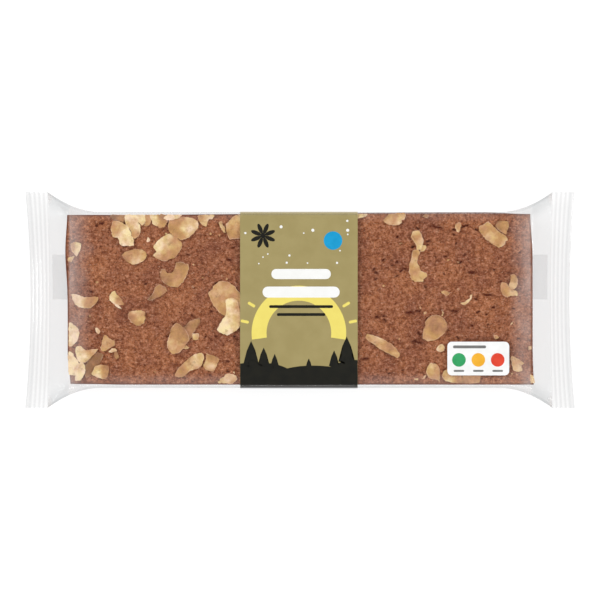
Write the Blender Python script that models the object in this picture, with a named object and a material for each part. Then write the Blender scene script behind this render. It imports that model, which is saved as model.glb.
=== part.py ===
"""Filled speculaas bar, sealed in a clear flow-wrap with a printed band round its middle.

The pack lies flat on its back: X is its length, Y its width, and Z = 0 is the underside of the
film. A flow-wrap is one tube of film pressed shut at both ends, so a flat seal is half the tube's
girth wide and flares out beyond the bar. Almond flakes on the bar lift the film into low relief.
"""
import math
import random
from collections import namedtuple

import bmesh
import bpy
from mathutils import Matrix, Vector

# Driving sizes of the pack, in metres.
PACK_LENGTH = 0.2503
TUBE_HEIGHT = 0.0180
TUBE_WIDTH = 0.0804
PANEL_HALF_WIDTH = 0.0384

# The tube's side wall: how far down it is widest, and how squarely it rounds off.
WIDEST_SHARE = 0.55
SIDE_POWER = 0.7

# The crimped end seals.
SEAL_DEPTH = 0.0102
SEAL_WIDTH = TUBE_WIDTH + TUBE_HEIGHT
SEAL_LEVEL = 0.0070
SEAL_THICKNESS = 0.0009
RIDGE_PITCH = 0.0021
RIDGE_RISE = 0.00035
OUTER_BOW = 0.0025
INNER_BOW = 0.0011
CURL_RISE = 0.0040
CORNER_DROP = 0.0015
FIRST_RIDGE = 0.0010
RIDGE_COUNT = 5

# Where the tube starts to close, measured inwards from the pack's end.
SLOPE_START = 0.0195
FLARE_START = 0.0340
FLARE_POWER = 1.9
SLOPE_POWER = 1.15
SLOPE_SHARES = (0.12, 0.3, 0.55, 0.8, 1.0)
FLARE_SHARES = (0.2, 0.4, 0.65, 1.0)

# The printed band, and the shallow neck that it sits in.
BAND_LEFT = -0.0272
BAND_RIGHT = 0.0262
NECK_DEPTH = 0.00075
GAP = 0.0003
BAND_LIFT = 0.00015
CUTTER_REACH = 0.0040

# Almond flakes: their relief over the top panel, and how uneven they are.
FLAKE_RISE = 0.00052
FLAKE_SINK = 0.0006
RISE_SPREAD = 0.00008
EDGE_SHRINK = 0.90
EDGE_ROUGHNESS = 0.05
FLAKE_TILT = math.radians(0.8)
OUTLINE_STEPS = 12

# The outlines of broken flakes, in shares of a flake one unit long and wide.
TIP_NARROWING = 0.3
CURL_RADII = (0.50, 0.22)
CURL_START = 50
CURL_SWEEP = 260
CURL_STEPS = 6
BREAK_LINE = 0.1
SHARD_MEAN = 0.85
SHARD_LOBES = 0.18
STICK_POWER = 0.7

# Points in one ring round the film: across the top or the bottom panel, and down one side. An
# edge that turns by more than the angle is shaded sharp.
PANEL_POINTS = 9
SIDE_POINTS = 5
SHARP_ANGLE = math.radians(35)

# One almond flake: its centre, length, width, turn in degrees and the way the slice broke.
Flake = namedtuple("Flake", "x y length width turn form")
FLAKES = [
    Flake(-0.0812, 0.0304, 0.0137, 0.0077, -56, "whole"),
    Flake(-0.0762, 0.0322, 0.0120, 0.0059, -68, "whole"),
    Flake(-0.0721, 0.0345, 0.0073, 0.0058, 0, "half"),
    Flake(-0.0637, 0.0345, 0.0082, 0.0064, 0, "half"),
    Flake(-0.0530, 0.0325, 0.0146, 0.0100, 16, "whole"),
    Flake(-0.0425, 0.0345, 0.0068, 0.0055, -30, "shard"),
    Flake(-0.0601, 0.0238, 0.0132, 0.0109, 25, "whole"),
    Flake(-0.0753, 0.0196, 0.0114, 0.0073, 4, "whole"),
    Flake(-0.0566, 0.0114, 0.0127, 0.0118, 120, "curl"),
    Flake(-0.0652, 0.0036, 0.0086, 0.0062, 150, "half"),
    Flake(-0.0835, 0.0007, 0.0068, 0.0064, 20, "half"),
    Flake(-0.0977, -0.0005, 0.0123, 0.0064, -4, "half"),
    Flake(-0.0742, -0.0082, 0.0082, 0.0068, 30, "whole"),
    Flake(-0.1005, 0.0216, 0.0090, 0.0046, 65, "shard"),
    Flake(-0.1010, -0.0159, 0.0109, 0.0050, 90, "half"),
    Flake(-0.0974, -0.0246, 0.0105, 0.0080, 20, "shard"),
    Flake(-0.1000, -0.0300, 0.0135, 0.0066, -75, "whole"),
    Flake(-0.0933, -0.0291, 0.0118, 0.0064, 50, "whole"),
    Flake(-0.0905, -0.0327, 0.0077, 0.0064, 10, "whole"),
    Flake(-0.0871, -0.0199, 0.0074, 0.0073, 80, "shard"),
    Flake(-0.0562, -0.0196, 0.0132, 0.0082, 60, "whole"),
    Flake(-0.0491, -0.0121, 0.0100, 0.0043, 50, "stick"),
    Flake(-0.0503, -0.0296, 0.0164, 0.0060, 36, "stick"),
    Flake(-0.0403, -0.0287, 0.0073, 0.0073, 15, "shard"),
    Flake(-0.0323, -0.0350, 0.0091, 0.0046, 15, "shard"),
    Flake(-0.0337, 0.0014, 0.0164, 0.0137, -60, "whole"),
    Flake(-0.0318, -0.0080, 0.0168, 0.0073, 100, "whole"),
    Flake(-0.0355, 0.0328, 0.0050, 0.0023, -60, "stick"),
    Flake(-0.0300, 0.0315, 0.0123, 0.0090, 90, "whole"),
    Flake(0.0428, 0.0352, 0.0100, 0.0050, 0, "half"),
    Flake(0.0537, 0.0268, 0.0086, 0.0044, -70, "whole"),
    Flake(0.0532, 0.0152, 0.0146, 0.0080, 10, "curl"),
    Flake(0.0719, 0.0332, 0.0050, 0.0024, 75, "stick"),
    Flake(0.0880, 0.0293, 0.0141, 0.0075, -35, "whole"),
    Flake(0.0924, 0.0330, 0.0066, 0.0057, 40, "shard"),
    Flake(0.0973, 0.0077, 0.0073, 0.0041, 75, "whole"),
    Flake(0.0944, 0.0043, 0.0064, 0.0052, 150, "whole"),
    Flake(0.0660, 0.0030, 0.0041, 0.0025, -15, "stick"),
    Flake(0.0612, -0.0127, 0.0118, 0.0105, 60, "whole"),
    Flake(0.0375, -0.0209, 0.0182, 0.0050, -34, "stick"),
    Flake(0.0638, -0.0218, 0.0036, 0.0032, 20, "shard"),
    Flake(0.0607, -0.0329, 0.0091, 0.0064, -75, "whole"),
    Flake(0.0728, -0.0345, 0.0173, 0.0050, 0, "stick"),
    Flake(0.0987, -0.0291, 0.0073, 0.0055, -60, "shard"),
    Flake(0.0892, -0.0166, 0.0036, 0.0028, 50, "shard"),
    Flake(0.0255, 0.0141, 0.0120, 0.0060, 20, "whole"),
]


def clear_scene():
    for item in list(bpy.data.objects):
        bpy.data.objects.remove(item, do_unlink=True)


def principled(name, colour, roughness):
    material = bpy.data.materials.new(name)
    material.use_nodes = True
    shader = material.node_tree.nodes["Principled BSDF"]
    shader.inputs["Base Color"].default_value = (*colour, 1.0)
    shader.inputs["Roughness"].default_value = roughness
    shader.inputs["Metallic"].default_value = 0.0
    return material


def add_object(name, bm, material=None):
    bmesh.ops.recalc_face_normals(bm, faces=bm.faces)
    mesh = bpy.data.meshes.new(name)
    bm.to_mesh(mesh)
    bm.free()
    if material:
        mesh.materials.append(material)
    item = bpy.data.objects.new(name, mesh)
    bpy.context.scene.collection.objects.link(item)
    return item


def part_way(value, start, end):
    """How far value has come from start towards end, held between 0 and 1."""
    return min(max((value - start) / (end - start), 0.0), 1.0)


def film_section(inset):
    """The tube's section as (panel half width, side half width, top, bottom), taken in by inset."""
    return PANEL_HALF_WIDTH - inset, TUBE_WIDTH / 2 - inset, TUBE_HEIGHT - inset, inset


def section_at(inward):
    """The film's section at a distance inwards from the pack's end, where it closes to a seal."""
    panel, side, top, bottom = film_section(0.0)
    closing = part_way(inward, SLOPE_START, SEAL_DEPTH) ** SLOPE_POWER
    flare = part_way(inward, FLARE_START, SEAL_DEPTH) ** FLARE_POWER
    side += (SEAL_WIDTH / 2 - side) * flare
    panel += (SEAL_WIDTH / 2 - SEAL_THICKNESS - panel) * closing
    top += (SEAL_LEVEL + SEAL_THICKNESS / 2 - top) * closing
    bottom += (SEAL_LEVEL - SEAL_THICKNESS / 2 - bottom) * closing
    return panel, side, top, bottom


def section_points(panel, side, top, bottom):
    """Points once round a section as (y, z): top panel, right side, bottom panel, left side."""
    middle = top + (bottom - top) * WIDEST_SHARE
    across = [panel * (2 * i / (PANEL_POINTS - 1) - 1) for i in range(PANEL_POINTS)]
    right = []
    for i in range(1, SIDE_POINTS + 1):
        angle = math.pi * i / (SIDE_POINTS + 1)
        reach = (top - middle) if angle < math.pi / 2 else (middle - bottom)
        bulge = (side - panel) * math.sin(angle) ** SIDE_POWER
        right.append((panel + bulge, middle + reach * math.cos(angle)))
    left = [(-y, z) for y, z in reversed(right)]
    return [(y, top) for y in across] + right + [(y, bottom) for y in reversed(across)] + left


def add_ring(bm, points):
    verts = [bm.verts.new(point) for point in points]
    edges = [bm.edges.new((verts[i - 1], verts[i])) for i in range(len(verts))]
    return verts, edges


def seal_shift(inward, y):
    """How far a seal's outer edge bows in and curls up at y, fading out towards the bar."""
    middle = 1 - (2 * y / SEAL_WIDTH) ** 2
    if inward < SEAL_DEPTH:
        outward = 1 - inward / SEAL_DEPTH
        bow = INNER_BOW + (OUTER_BOW - INNER_BOW) * outward
        return bow * middle, outward * (CURL_RISE * middle - CORNER_DROP)
    return INNER_BOW * middle * part_way(inward, SLOPE_START, SEAL_DEPTH), 0.0


def seal_stations():
    """Distances inwards of the seal's pressed ridges and grooves, with their height."""
    ridge = [FIRST_RIDGE + RIDGE_PITCH * i for i in range(RIDGE_COUNT)]
    groove = [place + RIDGE_PITCH / 2 for place in ridge[:-1]]
    stations = [(0.0, 0.0), (SEAL_DEPTH, 0.0)]
    stations += [(place, RIDGE_RISE) for place in ridge]
    stations += [(place, -RIDGE_RISE) for place in groove]
    return sorted(stations)


def closing_stations():
    """Distances inwards from the seal to the plain tube, closer together where the film bends."""
    slope = [SEAL_DEPTH + (SLOPE_START - SEAL_DEPTH) * share for share in SLOPE_SHARES]
    flare = [SLOPE_START + (FLARE_START - SLOPE_START) * share for share in FLARE_SHARES]
    return [(place, 0.0) for place in slope + flare]


def film_ring(bm, end, inward, ridge):
    points = []
    for y, z in section_points(*section_at(inward)):
        bow, curl = seal_shift(inward, y)
        points.append((end * (PACK_LENGTH / 2 - inward - bow), y, z + curl + ridge))
    return add_ring(bm, points)


def close_end(bm, ring):
    """Zip the top of the first or last ring to its bottom, from one side to the other."""
    count = len(ring)
    turn = PANEL_POINTS + SIDE_POINTS // 2
    for step in range(count // 2):
        corners = [ring[(turn - step) % count], ring[(turn - step - 1) % count]]
        corners += [ring[(turn + step + 1) % count], ring[(turn + step) % count]]
        bm.faces.new(list(dict.fromkeys(corners)))


def make_film():
    """The closed film as one solid: crimped seal, flare, tube, flare and crimped seal."""
    stations = seal_stations() + closing_stations()
    bm = bmesh.new()
    rings = [film_ring(bm, -1, inward, ridge) for inward, ridge in stations]
    rings += [film_ring(bm, 1, inward, ridge) for inward, ridge in reversed(stations)]
    for near, far in zip(rings, rings[1:]):
        bmesh.ops.bridge_loops(bm, edges=near[1] + far[1])
    close_end(bm, rings[0][0])
    close_end(bm, rings[-1][0])
    return add_object("sealed_bag", bm, principled("wrapped_speculaas", (0.27, 0.12, 0.07), 0.35))


def flake_outline(form):
    """Outline of an almond flake one unit long and wide, its long side along X."""
    points = []
    if form == "curl":
        outer, inner = CURL_RADII
        there = range(CURL_STEPS + 1)
        for radius, steps in ((outer, there), (inner, reversed(there))):
            for step in steps:
                angle = math.radians(CURL_START + CURL_SWEEP * step / CURL_STEPS)
                points.append((radius * math.cos(angle), radius * math.sin(angle)))
        return points
    for step in range(OUTLINE_STEPS):
        angle = 2 * math.pi * step / OUTLINE_STEPS
        x, y = math.cos(angle) / 2, math.sin(angle) / 2
        if form == "whole":
            y *= 1 - TIP_NARROWING * math.cos(angle)
        elif form == "half":
            y = (min(y, BREAK_LINE) + BREAK_LINE * 2) / (BREAK_LINE + 0.5)
        elif form == "shard":
            lobe = SHARD_MEAN + SHARD_LOBES * math.cos(3 * angle)
            x, y = x * lobe, y * lobe
        elif form == "stick":
            x = math.copysign(abs(2 * x) ** STICK_POWER, x) / 2
            y = math.copysign(abs(2 * y) ** STICK_POWER, y) / 2
        points.append((x, y))
    return points


def make_flake(name, flake, chance):
    """One flake as a low slab let into the top panel, its upper edge drawn in."""
    bm = bmesh.new()
    verts = []
    for x, y in flake_outline(flake.form):
        rough = 1 + chance.uniform(-EDGE_ROUGHNESS, EDGE_ROUGHNESS)
        verts.append(bm.verts.new((x * flake.length * rough, y * flake.width * rough, -FLAKE_SINK)))
    face = bm.faces.new(verts)
    lifted = bmesh.ops.extrude_face_region(bm, geom=[face])["geom"]
    rise = FLAKE_RISE + chance.uniform(-RISE_SPREAD, RISE_SPREAD)
    for vert in (item for item in lifted if isinstance(item, bmesh.types.BMVert)):
        vert.co = Vector((vert.co.x * EDGE_SHRINK, vert.co.y * EDGE_SHRINK, rise))
    tilt = Matrix.Rotation(chance.uniform(-FLAKE_TILT, FLAKE_TILT), 4, "Y")
    turn = Matrix.Rotation(math.radians(flake.turn), 4, "Z")
    place = Matrix.Translation((flake.x, flake.y, TUBE_HEIGHT))
    bm.transform(place @ turn @ tilt)
    return add_object(name, bm)


def make_sleeve(name, left, right, inner, outer):
    """A closed sleeve round the tube, between an inner and an outer section."""
    bm = bmesh.new()
    rings = []
    for x, section in ((left, inner), (left, outer), (right, outer), (right, inner)):
        rings.append(add_ring(bm, [(x, y, z) for y, z in section_points(*section)])[1])
    for near, far in zip(rings, rings[1:] + rings[:1]):
        bmesh.ops.bridge_loops(bm, edges=near + far)
    return add_object(name, bm)


def apply_boolean(item, operation, **operand):
    cut = item.modifiers.new(operation.lower(), "BOOLEAN")
    cut.operation = operation
    cut.solver = "EXACT"
    if "collection" in operand:
        cut.operand_type = "COLLECTION"
        cut.collection = operand["collection"]
    else:
        cut.object = operand["object"]
    bpy.context.view_layer.objects.active = item
    bpy.ops.object.modifier_apply(modifier=cut.name)


def fuse_flakes(film):
    chance = random.Random(7)
    heap = bpy.data.collections.new("flakes")
    bpy.context.scene.collection.children.link(heap)
    for number, flake in enumerate(FLAKES):
        piece = make_flake(f"flake_{number:02d}", flake, chance)
        bpy.context.scene.collection.objects.unlink(piece)
        heap.objects.link(piece)
    apply_boolean(film, "UNION", collection=heap)
    for piece in list(heap.objects):
        bpy.data.objects.remove(piece, do_unlink=True)
    bpy.data.collections.remove(heap)


def cut_neck(film):
    """Sink the shallow neck of the band, which also trims the flakes that reach into it."""
    inner = film_section(NECK_DEPTH)
    neck = (inner[0], inner[1], inner[2], inner[3] + BAND_LIFT)
    cutter = make_sleeve("neck_cutter", BAND_LEFT - GAP, BAND_RIGHT + GAP, neck, film_section(-CUTTER_REACH))
    cutter.hide_render = True
    cutter.display_type = "WIRE"
    apply_boolean(film, "DIFFERENCE", object=cutter)
    bpy.data.objects.remove(cutter, do_unlink=True)


def make_band():
    """The printed band as a thin sleeve, flush with the film and just clear of the ground."""
    inner = film_section(NECK_DEPTH - GAP)
    outer = film_section(0.0)
    inner = (inner[0], inner[1], inner[2], inner[3] + BAND_LIFT)
    outer = (outer[0], outer[1], outer[2], BAND_LIFT)
    band = make_sleeve("printed_band", BAND_LEFT, BAND_RIGHT, inner, outer)
    band.data.materials.append(principled("printed_film", (0.39, 0.32, 0.14), 0.45))
    return band


def shade(item):
    item.data.shade_smooth()
    item.data.set_sharp_from_angle(angle=SHARP_ANGLE)


clear_scene()
film = make_film()
fuse_flakes(film)
cut_neck(film)
band = make_band()
for item in (film, band):
    shade(item)
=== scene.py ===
"""Looks of a filled speculaas bar in its sealed clear flow-wrap, seen from straight above."""
import math
import random
from collections import namedtuple

import bmesh
import bpy
from mathutils import Matrix, Vector, noise


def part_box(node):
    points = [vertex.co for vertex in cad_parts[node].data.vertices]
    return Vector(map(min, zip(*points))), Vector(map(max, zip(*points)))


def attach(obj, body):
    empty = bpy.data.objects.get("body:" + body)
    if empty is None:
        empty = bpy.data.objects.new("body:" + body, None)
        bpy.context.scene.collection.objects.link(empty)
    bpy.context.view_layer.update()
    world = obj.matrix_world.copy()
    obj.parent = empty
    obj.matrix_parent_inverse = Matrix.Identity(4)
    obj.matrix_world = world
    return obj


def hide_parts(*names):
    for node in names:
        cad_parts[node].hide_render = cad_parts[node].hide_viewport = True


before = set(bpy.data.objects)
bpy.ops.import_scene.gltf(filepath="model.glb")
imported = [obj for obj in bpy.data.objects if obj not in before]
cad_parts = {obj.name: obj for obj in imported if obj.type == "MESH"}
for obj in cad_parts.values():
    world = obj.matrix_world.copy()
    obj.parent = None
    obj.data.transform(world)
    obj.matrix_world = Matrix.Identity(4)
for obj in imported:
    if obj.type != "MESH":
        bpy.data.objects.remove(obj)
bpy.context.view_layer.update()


# Camera: it looks straight down on the pack from far off through a long lens, so that almost
# no side wall shows. The view is 600 pixels of 0.455 mm wide, a little above the pack's middle.
VIEW_WIDTH = 0.2730
LENS = 600.0
SENSOR = 36.0

pack_low, pack_high = (Vector(corner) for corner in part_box("sealed_bag"))
camera = bpy.data.objects.new("camera", bpy.data.cameras.new("camera"))
camera.data.lens = LENS
camera.data.sensor_width = SENSOR
camera.data.clip_end = 20.0
camera.location = (0.0, 0.0, 0.6 * pack_high.z + VIEW_WIDTH * LENS / SENSOR)
bpy.context.scene.collection.objects.link(camera)
bpy.context.scene.camera = camera


# Studio: a plain white sweep of a floor that glows as a light table does, so that no shadow greys
# the clear ends. The surround is dimmer overhead, where the flat film mirrors it into the lens. A
# soft key lamp stands up and to the left, and two weaker ones open the shadows.
FLOOR_WHITE = 0.25
FLOOR_GLOW = 0.84
HORIZON = 1.0
OVERHEAD = 0.32
LAMPS = (
    ("key_lamp", (-1.00, 0.75, 1.05), 0.70, 13.6),
    ("right_lamp", (1.15, 0.10, 0.85), 0.60, 8.0),
    ("front_lamp", (0.10, -1.10, 0.90), 0.60, 5.5),
)


def linear(hex_colour):
    """An sRGB hex colour as linear red, green, blue and alpha."""
    channels = [int(hex_colour[i:i + 2], 16) / 255 for i in (1, 3, 5)]
    return (*(c / 12.92 if c <= 0.04045 else ((c + 0.055) / 1.055) ** 2.4 for c in channels), 1.0)


def new_material(name):
    """An empty node material and its output node."""
    material = bpy.data.materials.new(name)
    material.use_nodes = True
    material.node_tree.nodes.clear()
    return material, material.node_tree.nodes.new("ShaderNodeOutputMaterial")


def add_node(material, kind, inputs, stops=(), **settings):
    """Add a node: settings are its properties, inputs its values or the sockets linked into it. The
    stops of a colour ramp start with its first and its last one."""
    tree = material.node_tree
    made = tree.nodes.new(kind)
    for name, value in settings.items():
        setattr(made, name, value)
    for name, value in inputs.items():
        if isinstance(value, bpy.types.NodeSocket):
            tree.links.new(value, made.inputs[name])
        else:
            made.inputs[name].default_value = value
    for number, (position, hex_colour) in enumerate(stops):
        stop = made.color_ramp.elements[number] if number < 2 else made.color_ramp.elements.new(position)
        stop.position = position
        stop.color = linear(hex_colour)
    return made


def finish_piece(name, bm, material, smooth_angle=40):
    """Turn a bmesh into a shaded object that stands at the origin."""
    mesh = bpy.data.meshes.new(name)
    bm.to_mesh(mesh)
    bm.free()
    mesh.materials.append(material)
    mesh.shade_smooth()
    mesh.set_sharp_from_angle(angle=math.radians(smooth_angle))
    piece = bpy.data.objects.new(name, mesh)
    bpy.context.scene.collection.objects.link(piece)
    return piece


white_floor, floor_output = new_material("white_paper_sweep")
floor_shader = add_node(white_floor, "ShaderNodeBsdfPrincipled", {
    "Base Color": (FLOOR_WHITE, FLOOR_WHITE, FLOOR_WHITE, 1.0),
    "Roughness": 0.9,
    "Specular IOR Level": 0.1,
    "Emission Color": (1.0, 1.0, 1.0, 1.0),
    "Emission Strength": FLOOR_GLOW,
})
white_floor.node_tree.links.new(floor_shader.outputs[0], floor_output.inputs[0])
floor_mesh = bmesh.new()
bmesh.ops.create_grid(floor_mesh, x_segments=1, y_segments=1, size=6.0)
floor = finish_piece("floor", floor_mesh, white_floor)

surround = bpy.data.worlds.new("white_surround")
surround.use_nodes = True
sky_way = add_node(surround, "ShaderNodeTexCoord", {}).outputs["Generated"]
sky_height = add_node(surround, "ShaderNodeSeparateXYZ", {"Vector": sky_way}).outputs["Z"]
sky_level = add_node(surround, "ShaderNodeMapRange", {
    "Value": sky_height, "From Min": 0.0, "From Max": 0.85, "To Min": HORIZON, "To Max": OVERHEAD,
})
sky_shader = surround.node_tree.nodes["Background"]
sky_shader.inputs["Color"].default_value = (1.0, 1.0, 1.0, 1.0)
surround.node_tree.links.new(sky_level.outputs[0], sky_shader.inputs["Strength"])
bpy.context.scene.world = surround
bpy.context.scene.view_settings.view_transform = "Standard"

for lamp_name, place, lamp_size, power in LAMPS:
    light = bpy.data.lights.new(lamp_name, "AREA")
    light.shape = "DISK"
    light.size = lamp_size
    light.energy = power
    lamp = bpy.data.objects.new(lamp_name, light)
    lamp.location = place
    lamp.rotation_euler = Vector(place).to_track_quat("Z", "Y").to_euler()
    bpy.context.scene.collection.objects.link(lamp)


# Baked bar: spiced dough baked round a filling and cut to length, a little out of square. Its dry
# dark crumb is full of pores, longer ALONG the bar than ACROSS it, and tears into short cracks,
# most of them in the right half. A fine grid is the top, and its rim is extruded for the sides.
BAR_TOP = 0.0169
BAR_BOTTOM = 0.0005
BAR_LEFT = -0.1056
BAR_RIGHT = 0.1058
BAR_SPAN = 0.2118
BAR_BACK = 0.0387
BAR_FRONT = -0.0382
SIDE_LEVELS = (0.0150, 0.0136, 0.0120, 0.0104, 0.0088, 0.0072, 0.0056, 0.0040, 0.0024, 0.0010, BAR_BOTTOM)
GRID_STEP = 0.00047
EDGE_ROUND = 0.0012
GRAIN_SIZE = 0.0011
GRAIN_RELIEF = 0.00009
PORE_SIZE = 0.0013
PORE_DEPTH = 0.00030
WAVE_SIZE = 0.024
WAVE_RELIEF = 0.00028
CRACK_DEPTH = 0.0009
WALL_REACH = 0.0003
WALL_RELIEF = 0.00028
WALL_GRAIN = 0.0021
WALL_WAVE = 0.008
ALONG = 0.8
ACROSS = 1.3
CRACK_SPREAD = 1.35
CRACK_WAVE = 0.0005
CRACK_WAVE_SIZE = 0.0014
SMALL_CRACKS = 34
RIGHT_SHARE = 0.7
RIGHT_PART = (0.029, 0.102)
LEFT_PART = (-0.1, -0.03)

# A crack's centre and half its size are in metres from the pack's middle, its turn in degrees.
Crack = namedtuple("Crack", "x y half_length half_width turn")
CRACKS = [
    Crack(0.0626, 0.0330, 0.0030, 0.00042, -18), Crack(0.0582, 0.0268, 0.0010, 0.00035, 10),
    Crack(0.0514, 0.0241, 0.0009, 0.00035, 0), Crack(0.0473, 0.0141, 0.0012, 0.00035, -8),
    Crack(0.0441, 0.0109, 0.0010, 0.00032, 12), Crack(0.0441, 0.0173, 0.0009, 0.00032, 0),
    Crack(0.0378, 0.0182, 0.0010, 0.00035, 20), Crack(0.0346, 0.0123, 0.0011, 0.00035, -25),
    Crack(0.0337, 0.0141, 0.0008, 0.00032, 0), Crack(0.0460, 0.0132, 0.0009, 0.00035, 30),
    Crack(0.0751, 0.0337, 0.0019, 0.00038, 6), Crack(0.0701, 0.0319, 0.0010, 0.00032, 0),
    Crack(0.0801, 0.0319, 0.0010, 0.00032, -15), Crack(0.0660, 0.0200, 0.0011, 0.00035, 0),
    Crack(0.0728, 0.0173, 0.0010, 0.00035, 18), Crack(0.0780, 0.0125, 0.0017, 0.00052, -6),
    Crack(0.0851, 0.0023, 0.0028, 0.00038, -9), Crack(0.0498, -0.0057, 0.0022, 0.00052, 4),
    Crack(0.0536, -0.0050, 0.0015, 0.00038, 16), Crack(0.0352, -0.0077, 0.0011, 0.00035, 0),
    Crack(0.0380, -0.0073, 0.0007, 0.00032, 0), Crack(0.0541, -0.0150, 0.0010, 0.00036, -30),
    Crack(0.0530, -0.0191, 0.0030, 0.00038, -7), Crack(0.0296, -0.0267, 0.0018, 0.00038, 5),
    Crack(0.0701, -0.0050, 0.0018, 0.00038, 0), Crack(0.0810, -0.0055, 0.0010, 0.00034, 12),
    Crack(0.0878, -0.0034, 0.0009, 0.00034, 0), Crack(0.0971, -0.0039, 0.0010, 0.00034, -20),
    Crack(0.0443, 0.0288, 0.0006, 0.00045, 0), Crack(0.0782, -0.0117, 0.0006, 0.00045, 0),
    Crack(-0.0905, 0.0345, 0.0012, 0.00050, 0), Crack(-0.0925, 0.0338, 0.0006, 0.00040, 40),
    Crack(-0.0895, 0.0352, 0.0005, 0.00038, 0), Crack(-0.0701, 0.0073, 0.0007, 0.00035, 0),
    Crack(-0.0323, 0.0182, 0.0012, 0.00040, -12), Crack(-0.0382, -0.0164, 0.0008, 0.00036, 0),
    Crack(-0.0296, -0.0168, 0.0008, 0.00036, 20), Crack(-0.0328, -0.0278, 0.0009, 0.00036, 0),
    Crack(-0.0403, -0.0050, 0.0009, 0.00036, -10),
]


def smooth_step(value, start, end):
    """How far value has come from start to end, held between 0 and 1, with soft ends."""
    share = min(max((value - start) / (end - start), 0.0), 1.0)
    return share * share * (3 - 2 * share)


def bar_left(y):
    bulge = 0.0011 * math.exp(-((y - 0.022) / 0.013) ** 2)
    return BAR_LEFT - bulge + 0.0013 * smooth_step(y, -0.024, -0.040)


def bar_right(y):
    return BAR_RIGHT - 0.0011 * smooth_step(y, 0.018, 0.040) + 0.0004 * smooth_step(y, -0.022, -0.038)


def bar_back(x):
    return BAR_BACK + 0.0011 * smooth_step(x, -0.09, 0.07) - 0.0007 * smooth_step(x, 0.085, 0.105)


def bar_front(x):
    return BAR_FRONT - 0.0003 * smooth_step(x, -0.10, -0.08)


def bar_place(across, along):
    """Where a point of the unit square lies on the bar, whose sides aren't quite straight."""
    x = BAR_LEFT + BAR_SPAN * along
    y = bar_front(x) + (bar_back(x) - bar_front(x)) * across
    x = bar_left(y) + (bar_right(y) - bar_left(y)) * along
    return x, y


def small_cracks():
    """Finer tears between the long ones, thicker on the ground towards the right end."""
    chance = random.Random(11)
    cracks = []
    for _ in range(SMALL_CRACKS):
        part = RIGHT_PART if chance.random() < RIGHT_SHARE else LEFT_PART
        x = chance.uniform(*part)
        y = chance.uniform(-0.034, 0.035)
        half_length, half_width = chance.uniform(0.0004, 0.0011), chance.uniform(0.00022, 0.00032)
        cracks.append(Crack(x, y, half_length, half_width, chance.gauss(0, 25)))
    return cracks


def crack_at(cracks, x, y):
    """How deep in a crack the point lies, from 0 to 1."""
    deepest = 0.0
    for crack in cracks:
        dx, dy = x - crack.x, y - crack.y
        if abs(dx) > 0.006 or abs(dy) > 0.004:
            continue
        turn = math.radians(crack.turn)
        u = dx * math.cos(turn) + dy * math.sin(turn)
        v = dy * math.cos(turn) - dx * math.sin(turn)
        v += CRACK_WAVE * noise.noise(Vector((u / CRACK_WAVE_SIZE, crack.x * 900, 0)))
        reach = (u / crack.half_length) ** 4 + (v / (CRACK_SPREAD * crack.half_width)) ** 4
        deepest = max(deepest, math.exp(-reach))
    return deepest


def crumb_relief(x, y, crack):
    """Height of the baked top over its mean plane, and how far down a pore or crack it lies, which sets the
    painted shade there.
    """
    place = Vector((x, y, 0.0))
    wave = noise.noise(place / WAVE_SIZE) * WAVE_RELIEF
    grain = noise.fractal(place / GRAIN_SIZE, 0.7, 2.1, 3) * GRAIN_RELIEF
    drawn_out = Vector((ALONG * x, ACROSS * y, 0.0))
    pore = smooth_step(noise.noise(drawn_out / PORE_SIZE + Vector((7.0, 3.0, 1.0))), 0.40, 0.62)
    pore *= smooth_step(noise.noise(place / 0.011 + Vector((2.0, 9.0, 4.0))), -0.25, 0.35)
    return wave + grain - PORE_DEPTH * pore - CRACK_DEPTH * crack, max(0.45 * pore, crack)


def make_bar():
    bm = bmesh.new()
    pit_shade = bm.verts.layers.float.new("pit_shade")
    columns = round((bar_right(0) - bar_left(0)) / GRID_STEP)
    rows = round((bar_back(0) - bar_front(0)) / GRID_STEP)
    bmesh.ops.create_grid(bm, x_segments=columns, y_segments=rows, size=0.5)
    cracks = CRACKS + small_cracks()
    for vert in bm.verts:
        x, y = bar_place(vert.co.y + 0.5, vert.co.x + 0.5)
        inside = min(bar_right(y) - x, x - bar_left(y), bar_back(x) - y, y - bar_front(x))
        # Painted shade along the last millimetre of the top, where it rounds down into the shadowed gap
        # under the film.
        rim_shade = smooth_step(inside, 0.0011, 0.0002)
        drop = EDGE_ROUND - math.sqrt(max(EDGE_ROUND ** 2 - max(EDGE_ROUND - inside, 0.0) ** 2, 0.0))
        relief, depth = crumb_relief(x, y, crack_at(cracks, x, y))
        # The pit attribute carries painted shade: in pores, in cracks and along the rim.
        vert[pit_shade] = max(depth, 0.7 * rim_shade)
        vert.co = (x, y, BAR_TOP + relief * smooth_step(inside, -0.0005, 0.001) - drop)
    rim = [edge for edge in bm.edges if edge.is_boundary]
    for level in SIDE_LEVELS:
        grown = bmesh.ops.extrude_edge_only(bm, edges=rim)["geom"]
        rim = [item for item in grown if isinstance(item, bmesh.types.BMEdge)]
        for vert in (item for item in grown if isinstance(item, bmesh.types.BMVert)):
            vert.co.z = level
            vert[pit_shade] = 0.0
    for vert in bm.verts:
        if vert.co.z <= SIDE_LEVELS[0]:
            place = Vector(vert.co)
            rough = 0.5 * noise.fractal(place / WALL_GRAIN, 0.8, 2.1, 3)
            rough += 0.7 * noise.noise(place / WALL_WAVE)
            tuck = 0.0010 * smooth_step(vert.co.z, 0.0026, 0.0) + 0.0002
            on_right = place.x > bar_right(place.y) - WALL_REACH
            on_left = place.x < bar_left(place.y) + WALL_REACH
            on_back = place.y > bar_back(place.x) - WALL_REACH
            on_front = place.y < bar_front(place.x) + WALL_REACH
            outward = Vector((on_right - on_left, on_back - on_front, 0.0))
            vert.co += outward * (WALL_RELIEF * rough - tuck)
    bmesh.ops.triangle_fill(bm, edges=rim, use_beauty=True)
    bmesh.ops.recalc_face_normals(bm, faces=bm.faces)
    return finish_piece("baked_bar", bm, speculaas_crumb(), 60)


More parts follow.
